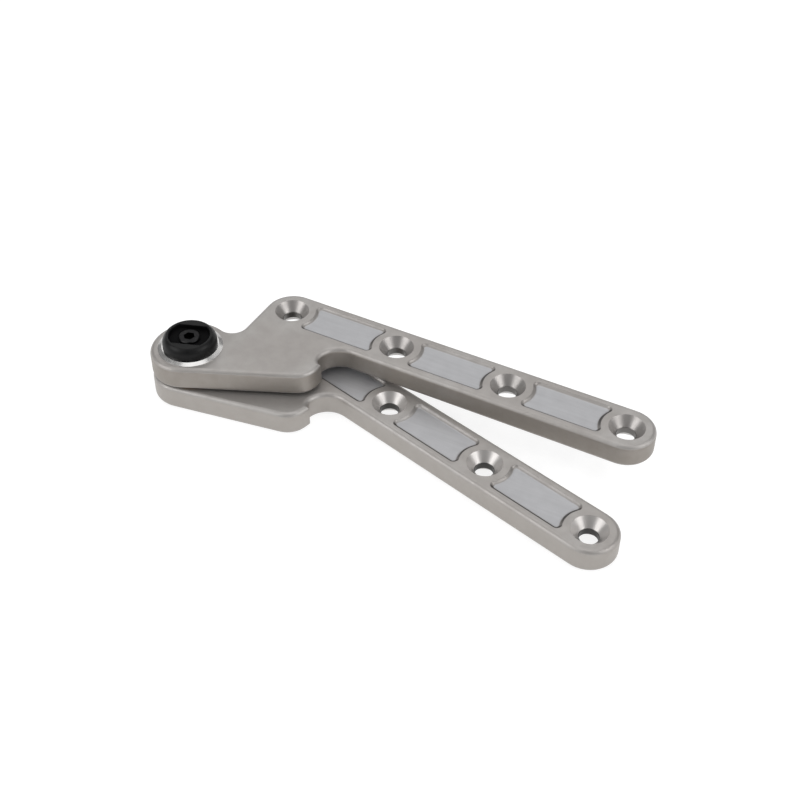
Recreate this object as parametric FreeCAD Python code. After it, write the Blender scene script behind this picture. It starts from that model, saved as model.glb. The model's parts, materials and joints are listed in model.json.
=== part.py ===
import FreeCAD, Part
import math
import os

os.makedirs("parts", exist_ok=True)

V = FreeCAD.Vector
UP = V(0, 0, 1)
SAME = 1e-4                  # lengths closer than this are taken as equal

# Offset top pivot for a door hung 3/4 in clear of the frame. All sizes in mm.
# Origin: the pivot axis, level with the underside of the lower (door) leaf. +Z is up.
# The upper (frame) leaf's strap runs along +X. The lower (door) leaf is the same casting,
# swung about the pivot axis by OPEN_ANGLE.

# ---- the casting, shared by both leaves ----
LEAF_T = 7.94                # 5/16 in
LEAF_GAP = 0.80              # between the two castings
OPEN_ANGLE = 14.8            # how far the door leaf is swung open
HOLE_PITCH = 38.1            # 1-1/2 in
HOLE_COUNT = 4
FIRST_HOLE_X = 18.27         # pivot axis to the first screw hole, along the strap
HOLE_LINE_Y = 30.5           # pivot axis to the line of screw holes
STRAP_W = 17.46              # 11/16 in
TIP_MARGIN = STRAP_W / 2.0   # last hole to the tip: the tip is rounded about that hole
HEAD_MARGIN = STRAP_W / 2.0  # first hole to the head's straight back edge
BACK_CORNER_R = 9.0
KNUCKLE_R = 12.5
BACK_FILLET_R = 4.5          # knuckle into the straight back edge
NECK_DIST = 11.54            # pivot axis to the head's long front edge
NECK_BLEND_R = 10.0          # knuckle into that edge
HEAD_X = 39.85               # the head's short end
HEAD_DROP = 16.44            # strap's near edge down to the front edge, at HEAD_X
HEAD_CORNER_R = 7.5
NOTCH_R = 7.0                # relief between the head's end and the strap
HOOK_IN = 2.15               # how far the relief undercuts the head's end
HOOK_DROP = 2.5              # how far the undercut runs down the head's end
EDGE_R = 1.5                 # rounding of every outer edge

# ---- screw holes: a countersink on each face, so the leaf suits either hand ----
HOLE_R = 2.85                # clears a No. 12 screw
CSK_R = 5.45                 # No. 12 flat head
CSK_HALF_ANGLE = 41.0        # 82 degree countersink

# ---- shallow panels between the screw holes, on both faces ----
PANEL_DEPTH = 0.8
PANEL_W = 12.3
PANEL_CORNER_R = 1.7         # in the narrow corners beside each boss
PANEL_COVE_R = 1.3           # the floor curves up into the rim
PANEL_RIM_R = 0.45           # rounding of a panel's rim
BOSS_R = 7.8                 # round boss left standing about each hole

# ---- pivot pin and its housing in the frame leaf ----
PIN_R = 5.556                # 7/16 in pin
RUN_PLAY = 0.05              # radial play of every turning or sliding fit
PIN_NOSE_LIFT = 2.4          # nose above the door leaf's underside when engaged
PIN_CHAMFER = 0.9
PIN_TOP_CHAMFER = 0.45
LIFT_CLEAR = 0.16            # nose above the door leaf's top when the pin is drawn up
PIN_TOP_GAP = 0.15           # drawn-up pin to the retaining ring
HOUSING_R = 8.73             # 11/16 in, pressed into the frame leaf
HOUSING_RECESS = 0.2         # its lower end sits this far inside the leaf
COLLAR_R = 10.1
COLLAR_TOP_R = 8.9
COLLAR_H = 0.8
COLLAR_LIP = 0.15            # straight edge below the collar's bevel
SPIGOT_R = 7.144             # 9/16 in spigot of the cap, pressed into the housing
SPIGOT_LEN = 4.2
WALL_GAP = 0.3               # between pieces that pass but never bear
OVER = 1.0                   # how far a cutting shape runs past the face it cuts

# ---- black cap ----
CAP_R = 8.5
CAP_H = 3.9                  # above the collar
CAP_SKIRT_H = 1.4            # straight part of the cap's side
CAP_RIM_R = 7.1
SHOULDER_IN = 0.34           # the shoulder's middle, as a share of its width inwards
SHOULDER_UP = 0.62           # and as a share of its height upwards
CAP_EDGE_R = 0.4             # rounding of the cap's outer rim
DISH_R = 6.4                 # dish in the cap's top: round, with two flats
DISH_FLAT = 4.6              # centre to each flat
DISH_DEPTH = 1.5
DISH_EDGE_R = 0.25           # rounding of the dish's rim
DISH_ANGLE = 20.0            # direction of the flats
CAP_FLOOR_T = 1.0

# ---- adjusting screw ----
SCREW_R = 2.413              # No. 10
SCREW_PITCH = 1.058          # 24 threads to the inch
HEAD_R = 3.3
HEAD_H = 0.85
HEAD_CHAMFER = 0.25
AXIAL_PLAY = 0.05
HEX_AF = 3.175               # 1/8 in hex key
HEX_DEPTH = 2.0
HEX_TURN = 15.0              # direction of one corner of the socket
SCREW_END_GAP = 0.3          # drawn-up nose to the end of the screw
RING_T = 0.6
RING_R = 4.1
RING_MOUTH_W = 2.96          # the ring's open side
GROOVE_R = 1.85

# ---- anti-turn key of the pin ----
KEY_W = 2.0
KEY_IN = 1.05                # into the pin
KEY_OUT = 1.05               # into the housing
KEY_LEN = 2.9
KEY_UP = 0.2                 # above the housing's lower end
KEY_PLAY = 0.05

# ---- door leaf's bush and the washer between the leaves ----
BUSH_R = 7.144               # 9/16 in, pressed into the door leaf
BUSH_RECESS = 0.3
WASHER_R = 9.6
WASHER_PLAY = 0.05

# ---- heights worked out from the above ----
Z_DOOR_TOP = LEAF_T
Z_FRAME_BOT = LEAF_T + LEAF_GAP
Z_FRAME_TOP = Z_FRAME_BOT + LEAF_T
Z_COLLAR = Z_FRAME_TOP + COLLAR_H
Z_CAP_TOP = Z_COLLAR + CAP_H
Z_DISH = Z_CAP_TOP - DISH_DEPTH
Z_CEILING = Z_DISH - CAP_FLOOR_T
Z_SPIGOT = Z_COLLAR - SPIGOT_LEN
Z_RING_TOP = Z_CEILING - AXIAL_PLAY
Z_RING_BOT = Z_RING_TOP - RING_T
Z_NOSE = PIN_NOSE_LIFT
PIN_TRAVEL = Z_DOOR_TOP + LIFT_CLEAR - Z_NOSE
Z_PIN_TOP = Z_RING_BOT - PIN_TOP_GAP - PIN_TRAVEL
Z_SCREW_END = Z_NOSE + PIN_TRAVEL + SCREW_END_GAP


def cyl(r, z0, z1):
    return Part.makeCylinder(r, z1 - z0, V(0, 0, z0), UP)


def cone(r0, r1, z0, z1):
    return Part.makeCone(r0, r1, z1 - z0, V(0, 0, z0), UP)


def arc(centre, r, a0, a1):
    """Arc about a centre from angle a0 to a1, degrees, counter-clockwise if a1 > a0."""
    pts = []
    for a in (a0, (a0 + a1) / 2.0, a1):
        t = math.radians(a)
        pts.append(V(centre[0] + r * math.cos(t), centre[1] + r * math.sin(t), 0))
    return Part.Arc(pts[0], pts[1], pts[2]).toShape()


def line(p, q):
    return Part.makeLine(V(p[0], p[1], 0), V(q[0], q[1], 0))


def angle_of(p, c):
    return math.degrees(math.atan2(p[1] - c[1], p[0] - c[0]))


def leaf_outline():
    """The casting's plan outline as a face at z = 0, pivot axis at the origin."""
    y_far = HOLE_LINE_Y + STRAP_W / 2.0
    y_near = HOLE_LINE_Y - STRAP_W / 2.0
    tip_r = STRAP_W / 2.0
    last_x = FIRST_HOLE_X + (HOLE_COUNT - 1) * HOLE_PITCH
    tip_c = (last_x + TIP_MARGIN - tip_r, HOLE_LINE_Y)
    back_x = FIRST_HOLE_X - HEAD_MARGIN

    # front edge of the head: a line NECK_DIST from the pivot axis, through the head's sharp corner
    sharp = (HEAD_X, y_near - HEAD_DROP)
    a = math.atan2(sharp[1], sharp[0]) + math.asin(NECK_DIST / math.hypot(sharp[0], sharp[1]))
    t = (math.cos(a), math.sin(a))
    n = (math.sin(a), -math.cos(a))

    # blend arc inside the knuckle circle and tangent to the front edge
    off_n = NECK_DIST - NECK_BLEND_R
    off_t = -math.sqrt((KNUCKLE_R - NECK_BLEND_R) ** 2 - off_n ** 2)
    blend_c = (off_n * n[0] + off_t * t[0], off_n * n[1] + off_t * t[1])
    blend_a0 = math.degrees(math.atan2(blend_c[1], blend_c[0]))
    blend_a1 = math.degrees(math.atan2(n[1], n[0]))
    blend_end = (blend_c[0] + NECK_BLEND_R * n[0], blend_c[1] + NECK_BLEND_R * n[1])

    # rounded corner between the front edge and the head's short end
    corner_x = HEAD_X - HEAD_CORNER_R
    corner_y = (n[0] * corner_x - (NECK_DIST - HEAD_CORNER_R)) / -n[1]
    corner_c = (corner_x, corner_y)
    corner_start = (corner_x + HEAD_CORNER_R * n[0], corner_y + HEAD_CORNER_R * n[1])

    # undercut relief: a hook arc, then the large relief arc into the strap's edge
    left_x = HEAD_X - HOOK_IN
    relief_c = (left_x + NOTCH_R, y_near - NOTCH_R)
    hook_r = (HOOK_IN ** 2 + HOOK_DROP ** 2) / (2.0 * HOOK_IN)
    hook_c = (left_x + hook_r, relief_c[1])
    cusp = (HEAD_X, relief_c[1] - HOOK_DROP)

    # fillet between the straight back edge and the knuckle
    fil_x = back_x - BACK_FILLET_R
    fil_y = math.sqrt((KNUCKLE_R + BACK_FILLET_R) ** 2 - fil_x ** 2)
    fil_c = (fil_x, fil_y)
    knuckle_a0 = math.degrees(math.atan2(fil_y, fil_x))
    back_c = (back_x + BACK_CORNER_R, y_far - BACK_CORNER_R)

    edges = []
    edges.append(arc((0, 0), KNUCKLE_R, knuckle_a0, blend_a0 + 360.0))
    edges.append(arc(blend_c, NECK_BLEND_R, blend_a0, blend_a1))
    edges.append(line(blend_end, corner_start))
    edges.append(arc(corner_c, HEAD_CORNER_R, blend_a1, 0.0))
    edges.append(line((HEAD_X, corner_y), cusp))
    edges.append(arc(hook_c, hook_r, angle_of(cusp, hook_c) + 360.0, 180.0))
    edges.append(arc(relief_c, NOTCH_R, 180.0, 90.0))
    edges.append(line((relief_c[0], y_near), (tip_c[0], y_near)))
    edges.append(arc(tip_c, tip_r, -90.0, 90.0))
    edges.append(line((tip_c[0], y_far), (back_c[0], y_far)))
    edges.append(arc(back_c, BACK_CORNER_R, 90.0, 180.0))
    edges.append(line((back_x, back_c[1]), (back_x, fil_c[1])))
    edges.append(arc(fil_c, BACK_FILLET_R, 0.0, knuckle_a0 - 180.0))
    wire = Part.Wire(Part.__sortEdges__(edges))
    return Part.Face(wire)


def level_edges(shape, heights):
    """The edges of a shape that lie flat at one of the given heights."""
    found = []
    for e in shape.Edges:
        box = e.BoundBox
        if any(abs(box.ZMin - z) < SAME and abs(box.ZMax - z) < SAME for z in heights):
            found.append(e)
    return found


def panel_tool(x_mid, height):
    """The recess between two neighbouring holes, z = 0 to height, coved at either end."""
    # below the leaf's face the cove bulges past the rim by this much
    rise = max(PANEL_COVE_R - PANEL_DEPTH, 0.0)
    bulge = PANEL_COVE_R - math.sqrt(PANEL_COVE_R ** 2 - rise ** 2)
    half_w = PANEL_W / 2.0 + bulge
    corner = V(x_mid - HOLE_PITCH / 2.0, HOLE_LINE_Y - half_w, 0)
    block = Part.makeBox(HOLE_PITCH, 2.0 * half_w, height, corner)
    for side in (-0.5, 0.5):
        centre = V(x_mid + side * HOLE_PITCH, HOLE_LINE_Y, 0)
        block = block.cut(Part.makeCylinder(BOSS_R - bulge, height, centre, UP))
    upright = [e for e in block.Edges if e.BoundBox.ZLength > height - SAME]
    block = block.makeFillet(PANEL_CORNER_R, upright)
    return block.makeFillet(PANEL_COVE_R, level_edges(block, (0, height)))


def leaf(bore_r):
    """One casting, its underside at z = 0, with a plain bore through the knuckle."""
    body = leaf_outline().extrude(V(0, 0, LEAF_T))
    body = body.makeFillet(EDGE_R, level_edges(body, (0, LEAF_T)))

    past = 2.0 * PANEL_COVE_R
    for i in range(HOLE_COUNT - 1):
        x_mid = FIRST_HOLE_X + (i + 0.5) * HOLE_PITCH
        tool = panel_tool(x_mid, PANEL_DEPTH + past)
        low = tool.copy()
        low.translate(V(0, 0, -past))
        top = tool.copy()
        top.translate(V(0, 0, LEAF_T - PANEL_DEPTH))
        body = body.cut(low)
        body = body.cut(top)
    inside = STRAP_W / 2.0 - EDGE_R - SAME
    rims = []
    for e in level_edges(body, (0, LEAF_T)):
        box = e.BoundBox
        near_line = box.YMin > HOLE_LINE_Y - inside and box.YMax < HOLE_LINE_Y + inside
        past_head = box.XMin > FIRST_HOLE_X
        if near_line and past_head:
            rims.append(e)
    body = body.makeFillet(PANEL_RIM_R, rims)

    csk_depth = (CSK_R - HOLE_R) / math.tan(math.radians(CSK_HALF_ANGLE))
    over_r = CSK_R + OVER * math.tan(math.radians(CSK_HALF_ANGLE))
    for i in range(HOLE_COUNT):
        x = FIRST_HOLE_X + i * HOLE_PITCH
        at = V(x, HOLE_LINE_Y, -OVER)
        hole = Part.makeCylinder(HOLE_R, LEAF_T + 2.0 * OVER, at, UP)
        low = Part.makeCone(over_r, HOLE_R, csk_depth + OVER, at, UP)
        top = Part.makeCone(HOLE_R, over_r, csk_depth + OVER, V(x, HOLE_LINE_Y, LEAF_T - csk_depth), UP)
        body = body.cut(hole.fuse([low, top]))

    return body.cut(cyl(bore_r, -OVER, LEAF_T + OVER))


def circle_edges(shape, z, r):
    """The circular edges of radius r at height z."""
    picked = []
    for e in level_edges(shape, (z,)):
        if isinstance(e.Curve, Part.Circle) and abs(e.Curve.Radius - r) < SAME:
            picked.append(e)
    return picked


def chamfer_ring(shape, z, r, size):
    return shape.makeChamfer(size, circle_edges(shape, z, r))


def hexagon(af, z0, z1, turn):
    r = af / math.sqrt(3.0)
    pts = []
    for k in range(7):
        t = math.radians(60.0 * k + turn)
        pts.append(V(r * math.cos(t), r * math.sin(t), z0))
    return Part.Face(Part.makePolygon(pts)).extrude(V(0, 0, z1 - z0))


def save(shape, node):
    shape.exportStep("parts/" + node + ".step")


# ---- the two leaves ----
frame_leaf = leaf(HOUSING_R)
frame_leaf.translate(V(0, 0, Z_FRAME_BOT))

door_leaf = leaf(BUSH_R)
door_leaf.rotate(V(0, 0, 0), UP, -OPEN_ANGLE)

# ---- housing: sleeve with a bevelled collar, a pin bore and a counterbore for the cap ----
z_housing = Z_FRAME_BOT + HOUSING_RECESS
z_lip = Z_FRAME_TOP + COLLAR_LIP
housing = cyl(HOUSING_R, z_housing, Z_FRAME_TOP)
collar = cyl(COLLAR_R, Z_FRAME_TOP, z_lip).fuse(cone(COLLAR_R, COLLAR_TOP_R, z_lip, Z_COLLAR))
housing = housing.fuse(collar).removeSplitter()
housing = housing.cut(cyl(PIN_R + RUN_PLAY, z_housing - OVER, Z_COLLAR + OVER))
housing = housing.cut(cyl(SPIGOT_R, Z_SPIGOT, Z_COLLAR + OVER))
key_r0 = PIN_R - KEY_IN
key_r1 = PIN_R + RUN_PLAY + KEY_OUT
key_at = V(key_r0, -KEY_W / 2.0, z_housing + KEY_UP)
pin_key = Part.makeBox(key_r1 - key_r0, KEY_W, KEY_LEN, key_at)
seat_at = V(key_r0, -KEY_W / 2.0, z_housing - OVER)
housing = housing.cut(Part.makeBox(key_r1 - key_r0, KEY_W, OVER + KEY_UP + KEY_LEN, seat_at))

# ---- pivot pin: sleeve-guided, tapped right through, keyway down its side ----
pin = cyl(PIN_R, Z_NOSE, Z_PIN_TOP)
pin = chamfer_ring(pin, Z_NOSE, PIN_R, PIN_CHAMFER)
pin = chamfer_ring(pin, Z_PIN_TOP, PIN_R, PIN_TOP_CHAMFER)
pin = pin.cut(cyl(SCREW_R + RUN_PLAY, Z_NOSE - OVER, Z_PIN_TOP + OVER))
way_w = KEY_W + 2.0 * KEY_PLAY
way_h = Z_PIN_TOP - Z_NOSE + 2.0 * OVER
way = Part.makeBox(PIN_R, way_w, way_h, V(key_r0 - KEY_PLAY, -way_w / 2.0, Z_NOSE - OVER))
pin = pin.cut(way)

# ---- cap: spigot, straight skirt, rounded shoulder, flat rim round a two-flat dish ----
z_skirt = Z_COLLAR + CAP_SKIRT_H
shoulder_x = CAP_R - (CAP_R - CAP_RIM_R) * SHOULDER_IN
shoulder_mid = V(shoulder_x, 0, z_skirt + (Z_CAP_TOP - z_skirt) * SHOULDER_UP)
profile = []
profile.append(Part.makeLine(V(0, 0, Z_COLLAR), V(CAP_R, 0, Z_COLLAR)))
profile.append(Part.makeLine(V(CAP_R, 0, Z_COLLAR), V(CAP_R, 0, z_skirt)))
profile.append(Part.Arc(V(CAP_R, 0, z_skirt), shoulder_mid, V(CAP_RIM_R, 0, Z_CAP_TOP)).toShape())
profile.append(Part.makeLine(V(CAP_RIM_R, 0, Z_CAP_TOP), V(0, 0, Z_CAP_TOP)))
profile.append(Part.makeLine(V(0, 0, Z_CAP_TOP), V(0, 0, Z_COLLAR)))
cap = Part.Face(Part.Wire(profile)).revolve(V(0, 0, 0), UP, 360)
cap = cap.fuse(cyl(SPIGOT_R, Z_SPIGOT, Z_COLLAR)).removeSplitter()
dish = cyl(DISH_R, Z_DISH, Z_CAP_TOP + OVER)
flats = Part.makeBox(2.0 * DISH_R, 2.0 * DISH_FLAT, DISH_DEPTH + OVER, V(-DISH_R, -DISH_FLAT, Z_DISH))
dish = dish.common(flats)
dish.rotate(V(0, 0, 0), UP, DISH_ANGLE)
cap = cap.cut(dish)
cap_rim = circle_edges(cap, Z_CAP_TOP, CAP_RIM_R)
cap = cap.makeFillet(CAP_EDGE_R, cap_rim)
inside = CAP_RIM_R - CAP_EDGE_R - SAME
dish_rim = [e for e in level_edges(cap, (Z_CAP_TOP,)) if e.BoundBox.XMax < inside]
cap = cap.makeFillet(DISH_EDGE_R, dish_rim)
cap = cap.cut(cyl(PIN_R + WALL_GAP, Z_SPIGOT - OVER, Z_CEILING))
cap = cap.cut(cyl(SCREW_R + RUN_PLAY, Z_CEILING - OVER, Z_CAP_TOP))

# ---- adjusting screw: low head over the dish floor, neck, ring groove, threaded shank ----
z_head = Z_DISH + AXIAL_PLAY
z_head_top = z_head + HEAD_H
screw = cyl(SCREW_R, Z_SCREW_END, z_head)
screw = screw.fuse(cyl(HEAD_R, z_head, z_head_top)).removeSplitter()
screw = chamfer_ring(screw, z_head_top, HEAD_R, HEAD_CHAMFER)
screw = chamfer_ring(screw, Z_SCREW_END, SCREW_R, SCREW_PITCH / 2.0)
groove = cyl(SCREW_R + OVER, Z_RING_BOT, Z_RING_TOP).cut(cyl(GROOVE_R, Z_RING_BOT, Z_RING_TOP))
screw = screw.cut(groove)
screw = screw.cut(hexagon(HEX_AF, z_head_top - HEX_DEPTH, z_head_top + OVER, HEX_TURN))

# ---- retaining ring in the groove, open on one side ----
ring = cyl(RING_R, Z_RING_BOT, Z_RING_TOP).cut(cyl(GROOVE_R, Z_RING_BOT, Z_RING_TOP))
mouth = Part.makeBox(RING_R + OVER, RING_MOUTH_W, RING_T, V(0, -RING_MOUTH_W / 2.0, Z_RING_BOT))
ring = ring.cut(mouth)

# ---- bush in the door leaf ----
bush = cyl(BUSH_R, BUSH_RECESS, Z_DOOR_TOP)
bush = bush.cut(cyl(PIN_R + RUN_PLAY, BUSH_RECESS - OVER, Z_DOOR_TOP + OVER))

# ---- washer resting on the door leaf ----
z_washer = Z_FRAME_BOT - WASHER_PLAY
washer = cyl(WASHER_R, Z_DOOR_TOP, z_washer)
washer = washer.cut(cyl(PIN_R + WALL_GAP, Z_DOOR_TOP - OVER, z_washer + OVER))

save(frame_leaf, "frame_leaf")
save(door_leaf, "door_leaf")
save(housing, "pin_housing")
save(pin_key, "pin_key")
save(pin, "pivot_pin")
save(cap, "cap")
save(screw, "adjusting_screw")
save(ring, "retaining_ring")
save(bush, "door_bush")
save(washer, "thrust_washer")
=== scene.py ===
"""Offset door pivot: finishes for the CAD frame, a pale floor, studio light and a camera."""

import json
import math

import bpy
from mathutils import Matrix, Vector


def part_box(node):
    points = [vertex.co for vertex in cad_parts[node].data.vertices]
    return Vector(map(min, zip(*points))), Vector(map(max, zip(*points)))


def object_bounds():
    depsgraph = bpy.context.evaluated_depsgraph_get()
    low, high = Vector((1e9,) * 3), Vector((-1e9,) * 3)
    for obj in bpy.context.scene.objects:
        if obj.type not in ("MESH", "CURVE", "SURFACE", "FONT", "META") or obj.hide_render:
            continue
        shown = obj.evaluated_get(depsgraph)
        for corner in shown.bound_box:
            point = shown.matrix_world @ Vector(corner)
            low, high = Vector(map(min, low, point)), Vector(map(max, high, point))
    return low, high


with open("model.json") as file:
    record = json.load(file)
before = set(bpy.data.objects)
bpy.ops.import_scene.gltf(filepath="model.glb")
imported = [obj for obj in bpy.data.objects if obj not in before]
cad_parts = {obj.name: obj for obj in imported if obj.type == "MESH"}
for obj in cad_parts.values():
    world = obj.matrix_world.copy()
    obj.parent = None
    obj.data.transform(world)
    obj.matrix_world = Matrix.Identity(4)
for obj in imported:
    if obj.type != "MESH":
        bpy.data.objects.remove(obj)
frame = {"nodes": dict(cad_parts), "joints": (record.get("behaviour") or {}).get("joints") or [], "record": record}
cad_low, cad_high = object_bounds()
NODES = frame["nodes"]

# ---- sizes read from the frame, in metres ----
FRAME_LOW, FRAME_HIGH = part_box("frame_leaf")
DOOR_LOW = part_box("door_leaf")[0]
MOUNTS = {m["name"]: m for m in frame["record"]["mounts"]}
MM = 0.001
HOLE_R = MOUNTS["frame_screws_outer"]["dims"]["hole_r_mm"] * MM
CAP_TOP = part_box("cap")[1].z
LEAF_T = FRAME_HIGH.z - FRAME_LOW.z

# ---- sizes of the casting and the cap, for where their finishes change ----
CSK_R = 5.45 * MM            # rim of the countersinks
BOSS_R = 7.8 * MM            # round boss about each screw hole
PANEL_HALF_W = 6.15 * MM
PANEL_DEPTH = 0.8 * MM
DISH_R = 6.4 * MM            # dish in the cap's top
DISH_DEPTH = 1.5 * MM


# ---- small helpers for node materials ----
class Graph:
    """A node material under construction, with short calls for the nodes used here."""

    def __init__(self, name):
        self.material = bpy.data.materials.new(name)
        self.material.use_nodes = True
        self.tree = self.material.node_tree
        self.tree.nodes.clear()
        self.shader = self.tree.nodes.new("ShaderNodeBsdfPrincipled")
        output = self.tree.nodes.new("ShaderNodeOutputMaterial")
        self.link(self.shader.outputs[0], output.inputs["Surface"])
        self.place = self.tree.nodes.new("ShaderNodeTexCoord").outputs["Object"]

    def link(self, source, target):
        self.tree.links.new(source, target)

    def plug(self, value, target):
        if isinstance(value, (int, float)):
            target.default_value = value
        elif isinstance(value, tuple):
            target.default_value = (*value, 1.0)
        else:
            self.link(value, target)

    def noise(self, scale, detail=3.0, rough=0.5, stretch=(1, 1, 1), turn=0.0):
        """Noise of scale per metre, drawn out by stretch after a turn about Z."""
        mapping = self.tree.nodes.new("ShaderNodeMapping")
        mapping.inputs["Scale"].default_value = stretch
        mapping.inputs["Rotation"].default_value = (0, 0, turn)
        self.link(self.place, mapping.inputs["Vector"])
        node = self.tree.nodes.new("ShaderNodeTexNoise")
        node.inputs["Scale"].default_value = scale
        node.inputs["Detail"].default_value = detail
        node.inputs["Roughness"].default_value = rough
        self.link(mapping.outputs[0], node.inputs["Vector"])
        return node.outputs["Fac"]

    def math(self, kind, a, b=0.0, c=0.0, clamp=False):
        node = self.tree.nodes.new("ShaderNodeMath")
        node.operation = kind
        node.use_clamp = clamp
        for value, socket in zip((a, b, c), node.inputs):
            self.plug(value, socket)
        return node.outputs[0]

    def span(self, value, low, high, to_low=0.0, to_high=1.0):
        """Maps low..high to to_low..to_high, clamped and smoothed."""
        node = self.tree.nodes.new("ShaderNodeMapRange")
        node.interpolation_type = "SMOOTHSTEP"
        self.plug(value, node.inputs["Value"])
        node.inputs["From Min"].default_value = low
        node.inputs["From Max"].default_value = high
        node.inputs["To Min"].default_value = to_low
        node.inputs["To Max"].default_value = to_high
        return node.outputs["Result"]

    def mix(self, factor, a, b):
        node = self.tree.nodes.new("ShaderNodeMix")
        node.data_type = "RGBA"
        self.plug(factor, node.inputs[0])
        self.plug(a, node.inputs[6])
        self.plug(b, node.inputs[7])
        return node.outputs[2]

    def axes(self, value=None):
        node = self.tree.nodes.new("ShaderNodeSeparateXYZ")
        self.link(self.place if value is None else value, node.inputs[0])
        return node.outputs

    def normal(self):
        """The surface's direction in the piece's own axes, so that it turns with the piece."""
        return self.tree.nodes.new("ShaderNodeTexCoord").outputs["Normal"]

    def bump(self, height, distance, strength=1.0, under=None):
        node = self.tree.nodes.new("ShaderNodeBump")
        node.inputs["Strength"].default_value = strength
        node.inputs["Distance"].default_value = distance
        self.link(height, node.inputs["Height"])
        if under is not None:
            self.link(under, node.inputs["Normal"])
        return node.outputs["Normal"]

    def finish(self, color, roughness, metallic, normal=None):
        self.plug(color, self.shader.inputs["Base Color"])
        self.plug(roughness, self.shader.inputs["Roughness"])
        self.shader.inputs["Metallic"].default_value = metallic
        if normal is not None:
            self.link(normal, self.shader.inputs["Normal"])
        return self.material


def leaf_metal(name, turn, z_low, hole_centres, painted_light_tones):
    """Tumbled, nickel-toned casting: satin all over, cooler in the panels, with painted light and shade: a
    countersink tone, darker side walls and dark hole lands set per leaf, and painted shadow lines along the
    panels' edges.
    """
    shaded_wall_tone, countersink_painted_tone, shaded_land_tone = painted_light_tones
    g = Graph(name)
    x, y, z = g.axes()
    nx, ny, up = g.axes(g.normal())

    # distance from the nearest screw hole's axis
    nearest = None
    for cx, cy in hole_centres:
        dx = g.math("SUBTRACT", x, cx)
        dy = g.math("SUBTRACT", y, cy)
        d = g.math("SQRT", g.math("ADD", g.math("MULTIPLY", dx, dx), g.math("MULTIPLY", dy, dy)))
        nearest = d if nearest is None else g.math("MINIMUM", nearest, d)
    in_hole = g.span(nearest, CSK_R + 0.05 * MM, CSK_R - 0.15 * MM)
    in_land = g.span(nearest, HOLE_R + 0.2 * MM, HOLE_R + 0.08 * MM)
    off_boss = g.span(nearest, BOSS_R - 0.6 * MM, BOSS_R - 0.4 * MM)

    # depth below the nearer face of the leaf
    deep = g.math("MINIMUM", g.math("SUBTRACT", z, z_low), g.math("SUBTRACT", z_low + LEAF_T, z))
    flat = g.span(g.math("ABSOLUTE", up), 0.9, 0.99)
    in_panel = g.math("MULTIPLY", flat, g.span(deep, PANEL_DEPTH - 0.3 * MM, PANEL_DEPTH - 0.08 * MM))
    side = g.span(g.math("ABSOLUTE", up), 0.5, 0.15)

    # the curved edge of a panel: tilted, within the strap's middle band and clear of the bosses
    (ax, ay), (bx, by) = hole_centres[0], hole_centres[1]
    run = math.hypot(bx - ax, by - ay)
    tx, ty = (bx - ax) / run, (by - ay) / run
    from_x = g.math("SUBTRACT", x, ax)
    from_y = g.math("SUBTRACT", y, ay)
    along = g.math("ADD", g.math("MULTIPLY", from_x, tx), g.math("MULTIPLY", from_y, ty))
    across = g.math("SUBTRACT", g.math("MULTIPLY", from_x, ty), g.math("MULTIPLY", from_y, tx))
    off_line = g.math("ABSOLUTE", across)
    on_strap = g.span(off_line, PANEL_HALF_W + 0.75 * MM, PANEL_HALF_W + 0.55 * MM)
    off_middle = g.math("ABSOLUTE", g.math("SUBTRACT", along, run / 2))
    on_strap = g.math("MULTIPLY", on_strap, g.span(off_middle, run / 2, run / 2 - 1 * MM))
    tilted = g.span(g.math("ABSOLUTE", up), 0.985, 0.9)
    cove = g.math("MULTIPLY", g.math("MULTIPLY", on_strap, off_boss), tilted)
    # painted shadow: a dark line on the near side and the tip end of each panel's curved edge, where shade falls
    # into the recess
    lean = g.math("ADD", g.math("MULTIPLY", nx, -0.5 * tx - ty), g.math("MULTIPLY", ny, tx - 0.5 * ty))
    painted_edge_shadow = g.math("MULTIPLY", cove, g.span(lean, -0.1, 0.25, 0.12, 0.9))

    broad = g.noise(45, 3, 0.55)
    mottle = g.noise(260, 4, 0.6)
    grain = g.noise(2600, 3, 0.6)
    brushed = g.noise(900, 3, 0.6, stretch=(0.05, 1, 1), turn=turn)

    warm = g.mix(g.span(broad, 0.35, 0.65), (0.375, 0.354, 0.338), (0.41, 0.394, 0.38))
    warm = g.mix(g.span(mottle, 0.3, 0.75, 0.0, 0.35), warm, (0.335, 0.316, 0.30))
    cool = g.mix(g.span(brushed, 0.3, 0.7), (0.437, 0.437, 0.449), (0.463, 0.464, 0.477))
    # painted light: the countersinks take their own tone per leaf, brighter on the door leaf, standing in for the
    # light on the cones
    painted_countersink = g.mix(g.span(broad, 0.35, 0.65), tuple(0.93 * c for c in countersink_painted_tone), countersink_painted_tone)
    # painted shade: the side walls take a darker tone, set per leaf for how light falls on them
    color = g.mix(g.math("MULTIPLY", side, g.span(mottle, 0.2, 0.8, 0.85, 1.0)), warm, shaded_wall_tone)
    color = g.mix(in_panel, color, cool)
    # painted shadow along the panels' near and tip edges
    color = g.mix(painted_edge_shadow, color, (0.07, 0.067, 0.064))
    color = g.mix(in_hole, color, painted_countersink)
    # painted shade: a dark tone on the straight land inside each screw hole, darker on the door leaf
    color = g.mix(in_land, color, shaded_land_tone)

    rough = g.span(mottle, 0.25, 0.75, 0.42, 0.52)
    rough = g.math("ADD", rough, g.math("MULTIPLY", in_panel, 0.04))
    rough = g.math("SUBTRACT", rough, g.math("MULTIPLY", in_hole, 0.1))

    pits = g.bump(grain, 0.012 * MM, 0.5)
    swell = g.bump(mottle, 0.05 * MM, 0.35, under=pits)
    return g.finish(color, rough, 0.72, swell)


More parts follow.
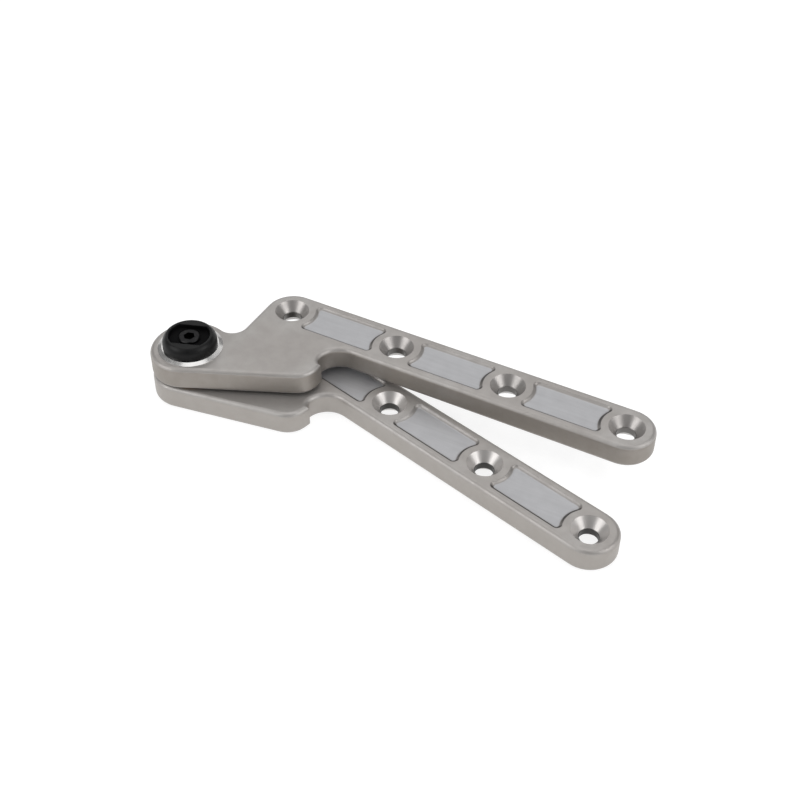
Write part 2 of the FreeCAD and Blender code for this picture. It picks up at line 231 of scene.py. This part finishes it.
def turned_steel(name, tint, rough_low, rough_high, rings_per_m=4200):
    """Turned or ground steel with fine marks round the Z axis."""
    g = Graph(name)
    x, y, z = g.axes()
    radius = g.math("SQRT", g.math("ADD", g.math("MULTIPLY", x, x), g.math("MULTIPLY", y, y)))
    ring = g.math("SINE", g.math("MULTIPLY", g.math("ADD", radius, z), rings_per_m * 2 * math.pi))
    cloud = g.noise(400, 3, 0.5)
    dark = tuple(0.86 * c for c in tint)
    color = g.mix(g.span(cloud, 0.3, 0.7), dark, tint)
    rough = g.span(cloud, 0.3, 0.7, rough_low, rough_high)
    return g.finish(color, rough, 1.0, g.bump(ring, 0.002 * MM, 0.4))


def black_plastic():
    """Moulded acetal: black, semi-gloss, with a fine spark-eroded grain."""
    g = Graph("black_acetal_moulded")
    x, y, z = g.axes()
    grain = g.noise(3800, 2, 0.6)
    cloud = g.noise(300, 3, 0.5)
    color = g.mix(g.span(cloud, 0.3, 0.7), (0.003, 0.003, 0.0032), (0.006, 0.006, 0.0064))
    radius = g.math("SQRT", g.math("ADD", g.math("MULTIPLY", x, x), g.math("MULTIPLY", y, y)))
    # painted shade: the dish in the cap's top gets less sheen and more roughness so it reads darker, standing in
    # for the shade inside it
    below_rim = g.span(z, CAP_TOP - 0.2 * DISH_DEPTH, CAP_TOP - 0.8 * DISH_DEPTH)
    dish_shade = g.math("MULTIPLY", g.span(radius, DISH_R + 0.2 * MM, DISH_R - 0.1 * MM), below_rim)
    rough = g.math("ADD", g.span(cloud, 0.3, 0.7, 0.32, 0.42), g.math("MULTIPLY", dish_shade, 0.2))
    g.link(g.span(dish_shade, 0.0, 1.0, 0.18, 0.03), g.shader.inputs["Specular IOR Level"])
    return g.finish(color, rough, 0.0, g.bump(grain, 0.01 * MM, 0.35))


def black_oxide():
    """Blackened steel, worn a little lighter in patches."""
    g = Graph("black_oxide_steel")
    cloud = g.noise(700, 4, 0.6)
    color = g.mix(g.span(cloud, 0.45, 0.75), (0.018, 0.018, 0.019), (0.036, 0.035, 0.035))
    rough = g.span(cloud, 0.3, 0.7, 0.30, 0.42)
    return g.finish(color, rough, 1.0, g.bump(cloud, 0.01 * MM, 0.3))


def sintered_bronze():
    """Oil-filled bearing bronze with open pores."""
    g = Graph("sintered_bronze")
    pores = g.noise(3000, 3, 0.7)
    cloud = g.noise(240, 3, 0.5)
    color = g.mix(g.span(cloud, 0.3, 0.7), (0.43, 0.25, 0.10), (0.52, 0.32, 0.14))
    color = g.mix(g.span(pores, 0.62, 0.7), color, (0.16, 0.09, 0.04))
    return g.finish(color, g.span(pores, 0.3, 0.7, 0.35, 0.55), 1.0, g.bump(pores, 0.02 * MM, 0.4))


# ---- screw-hole centres of each leaf, from the screw mounts ----
def hole_centres(outer, inner, direction):
    """The four hole axes of a leaf, along direction from its pattern's centre, in metres."""
    middle = Vector(MOUNTS[outer]["pos_m"])
    found = []
    for mount in (outer, inner):
        dims = MOUNTS[mount]["dims"]
        half = dims.get("spacing_x_mm", dims.get("pcd_mm")) / 2 * MM
        for side in (-1, 1):
            p = middle + direction * side * half
            found.append((p.x, p.y))
    return found


swing = frame["joints"][0]
OPEN_ANGLE = math.radians(-swing["range_deg"][0])
ALONG_DOOR = Vector((math.cos(OPEN_ANGLE), -math.sin(OPEN_ANGLE), 0))
FRAME_HOLES = hole_centres("frame_screws_outer", "frame_screws_inner", Vector((1, 0, 0)))
DOOR_HOLES = hole_centres("door_screws_outer", "door_screws_inner", ALONG_DOOR)

# each leaf's painted light and shade: a darker tone for the side walls, a tone for the countersinks and a dark
# tone for the straight land inside its screw holes, set per leaf
FRAME_PAINTED_TONES = ((0.285, 0.260, 0.235), (0.37, 0.354, 0.342), (0.18, 0.173, 0.166))
DOOR_PAINTED_TONES = ((0.372, 0.348, 0.325), (0.54, 0.52, 0.505), (0.06, 0.058, 0.056))

FINISHES = {
    "frame_leaf": leaf_metal("frame_leaf_satin", 0.0, FRAME_LOW.z, FRAME_HOLES, FRAME_PAINTED_TONES),
    "door_leaf": leaf_metal("door_leaf_satin", OPEN_ANGLE, DOOR_LOW.z, DOOR_HOLES, DOOR_PAINTED_TONES),
    "pin_housing": turned_steel("collar_polished", (0.66, 0.65, 0.64), 0.18, 0.26),
    "pivot_pin": turned_steel("pin_ground", (0.56, 0.56, 0.57), 0.12, 0.2, 6000),
    "pin_key": turned_steel("key_drawn", (0.45, 0.45, 0.46), 0.28, 0.4),
    "retaining_ring": turned_steel("ring_phosphated", (0.18, 0.18, 0.19), 0.4, 0.55),
    "cap": black_plastic(),
    "adjusting_screw": black_oxide(),
    "door_bush": sintered_bronze(),
    "thrust_washer": sintered_bronze(),
}

for node, material in FINISHES.items():
    slots = NODES[node].material_slots
    if not slots:
        NODES[node].data.materials.append(material)
    for slot in NODES[node].material_slots:
        slot.material = material

# ---- floor: pale and plain, its rim curving up far away ----
FLOOR_R = 8.0
FLOOR_RIM_R = 1.5
FLOOR_STEPS = 96             # round the floor
RIM_STEPS = 12               # up the rim
FLOOR_GAP = 0.02 * MM        # keeps the faces from lying in one plane
FLOOR_GLOW = 0.8             # the table is lit through from below


def make_floor():
    """A flat disc with a quarter-round rim, one ring of points per step."""
    points, faces = [], [tuple(range(FLOOR_STEPS))]
    for ring in range(RIM_STEPS + 1):
        rise = math.radians(90) * ring / RIM_STEPS
        radius = FLOOR_R + FLOOR_RIM_R * math.sin(rise)
        height = FLOOR_RIM_R * (1 - math.cos(rise))
        for k in range(FLOOR_STEPS):
            turn = math.tau * k / FLOOR_STEPS
            points.append((radius * math.cos(turn), radius * math.sin(turn), height))
    for ring in range(RIM_STEPS):
        for k in range(FLOOR_STEPS):
            here = ring * FLOOR_STEPS + k
            after = ring * FLOOR_STEPS + (k + 1) % FLOOR_STEPS
            faces.append((here, here + FLOOR_STEPS, after + FLOOR_STEPS, after))
    mesh = bpy.data.meshes.new("floor")
    mesh.from_pydata(points, [], faces)
    mesh.polygons.foreach_set("use_smooth", [True] * len(mesh.polygons))
    floor = bpy.data.objects.new("floor", mesh)
    bpy.context.scene.collection.objects.link(floor)
    floor.location.z = cad_low.z - FLOOR_GAP
    g = Graph("floor_paper")
    fibre = g.noise(120, 3, 0.5)
    color = g.mix(g.span(fibre, 0.3, 0.7), (0.28, 0.28, 0.28), (0.32, 0.32, 0.32))
    g.shader.inputs["Emission Color"].default_value = (1.0, 1.0, 1.0, 1.0)
    g.shader.inputs["Emission Strength"].default_value = FLOOR_GLOW
    floor.data.materials.append(g.finish(color, 0.9, 0.0))


make_floor()

# ---- camera ----
CAM_AZIMUTH = math.radians(27.683)
CAM_ELEVATION = math.radians(41.911)
CAM_ROLL = math.radians(0.648)
CAM_DISTANCE = 0.411345
CAM_AIM = Vector((0.060379, 0.025555, 0.0))
CAM_LENS = 58.497
SENSOR = 36.0


def camera_axes():
    """Right, up and back directions of the camera."""
    flat = math.cos(CAM_ELEVATION)
    back = Vector((math.sin(CAM_AZIMUTH) * flat, -math.cos(CAM_AZIMUTH) * flat, math.sin(CAM_ELEVATION)))
    right = Vector((math.cos(CAM_AZIMUTH), math.sin(CAM_AZIMUTH), 0))
    up = back.cross(right)
    c, s = math.cos(CAM_ROLL), math.sin(CAM_ROLL)
    return c * right + s * up, c * up - s * right, back


def make_camera():
    right, up, back = camera_axes()
    data = bpy.data.cameras.new("camera")
    data.lens = CAM_LENS
    data.sensor_width = SENSOR
    data.clip_start = 0.01
    data.clip_end = 20
    camera = bpy.data.objects.new("camera", data)
    camera.matrix_world = Matrix.Translation(CAM_AIM + back * CAM_DISTANCE) @ Matrix(
        ((right.x, up.x, back.x, 0), (right.y, up.y, back.y, 0), (right.z, up.z, back.z, 0), (0, 0, 0, 1))
    )
    bpy.context.scene.collection.objects.link(camera)
    bpy.context.scene.camera = camera


make_camera()


# ---- studio light: soft boxes either side of the camera, one overhead, a dim room ----
def soft_box(name, azimuth, elevation, distance, width, height, power):
    """An area light aimed at the object. Azimuth 0 stands on the -Y side, 90 on the +X side."""
    a, e = math.radians(azimuth), math.radians(elevation)
    back = Vector((math.sin(a) * math.cos(e), -math.cos(a) * math.cos(e), math.sin(e)))
    data = bpy.data.lights.new(name, "AREA")
    data.shape = "RECTANGLE"
    data.size, data.size_y = width, height
    data.energy = power
    light = bpy.data.objects.new(name, data)
    light.location = (cad_low + cad_high) / 2 + back * distance
    light.rotation_mode = "QUATERNION"
    light.rotation_quaternion = (-back).to_track_quat("-Z", "Y")
    bpy.context.scene.collection.objects.link(light)


CAMERA_SIDE = math.degrees(CAM_AZIMUTH)
soft_box("left_box", CAMERA_SIDE - 68, 34, 1.1, 0.75, 0.6, 4.2)
soft_box("right_box", CAMERA_SIDE + 66, 34, 1.1, 0.75, 0.6, 4.2)
soft_box("back_box", CAMERA_SIDE + 180, 50, 1.3, 1.5, 0.9, 4.2)
soft_box("top_box", CAMERA_SIDE, 88, 1.2, 0.9, 0.9, 3.0)

world = bpy.data.worlds.new("studio")
world.use_nodes = True
world.node_tree.nodes["Background"].inputs["Color"].default_value = (1.0, 1.0, 1.0, 1.0)
world.node_tree.nodes["Background"].inputs["Strength"].default_value = 0.30
bpy.context.scene.world = world
bpy.context.scene.view_settings.view_transform = "Standard"
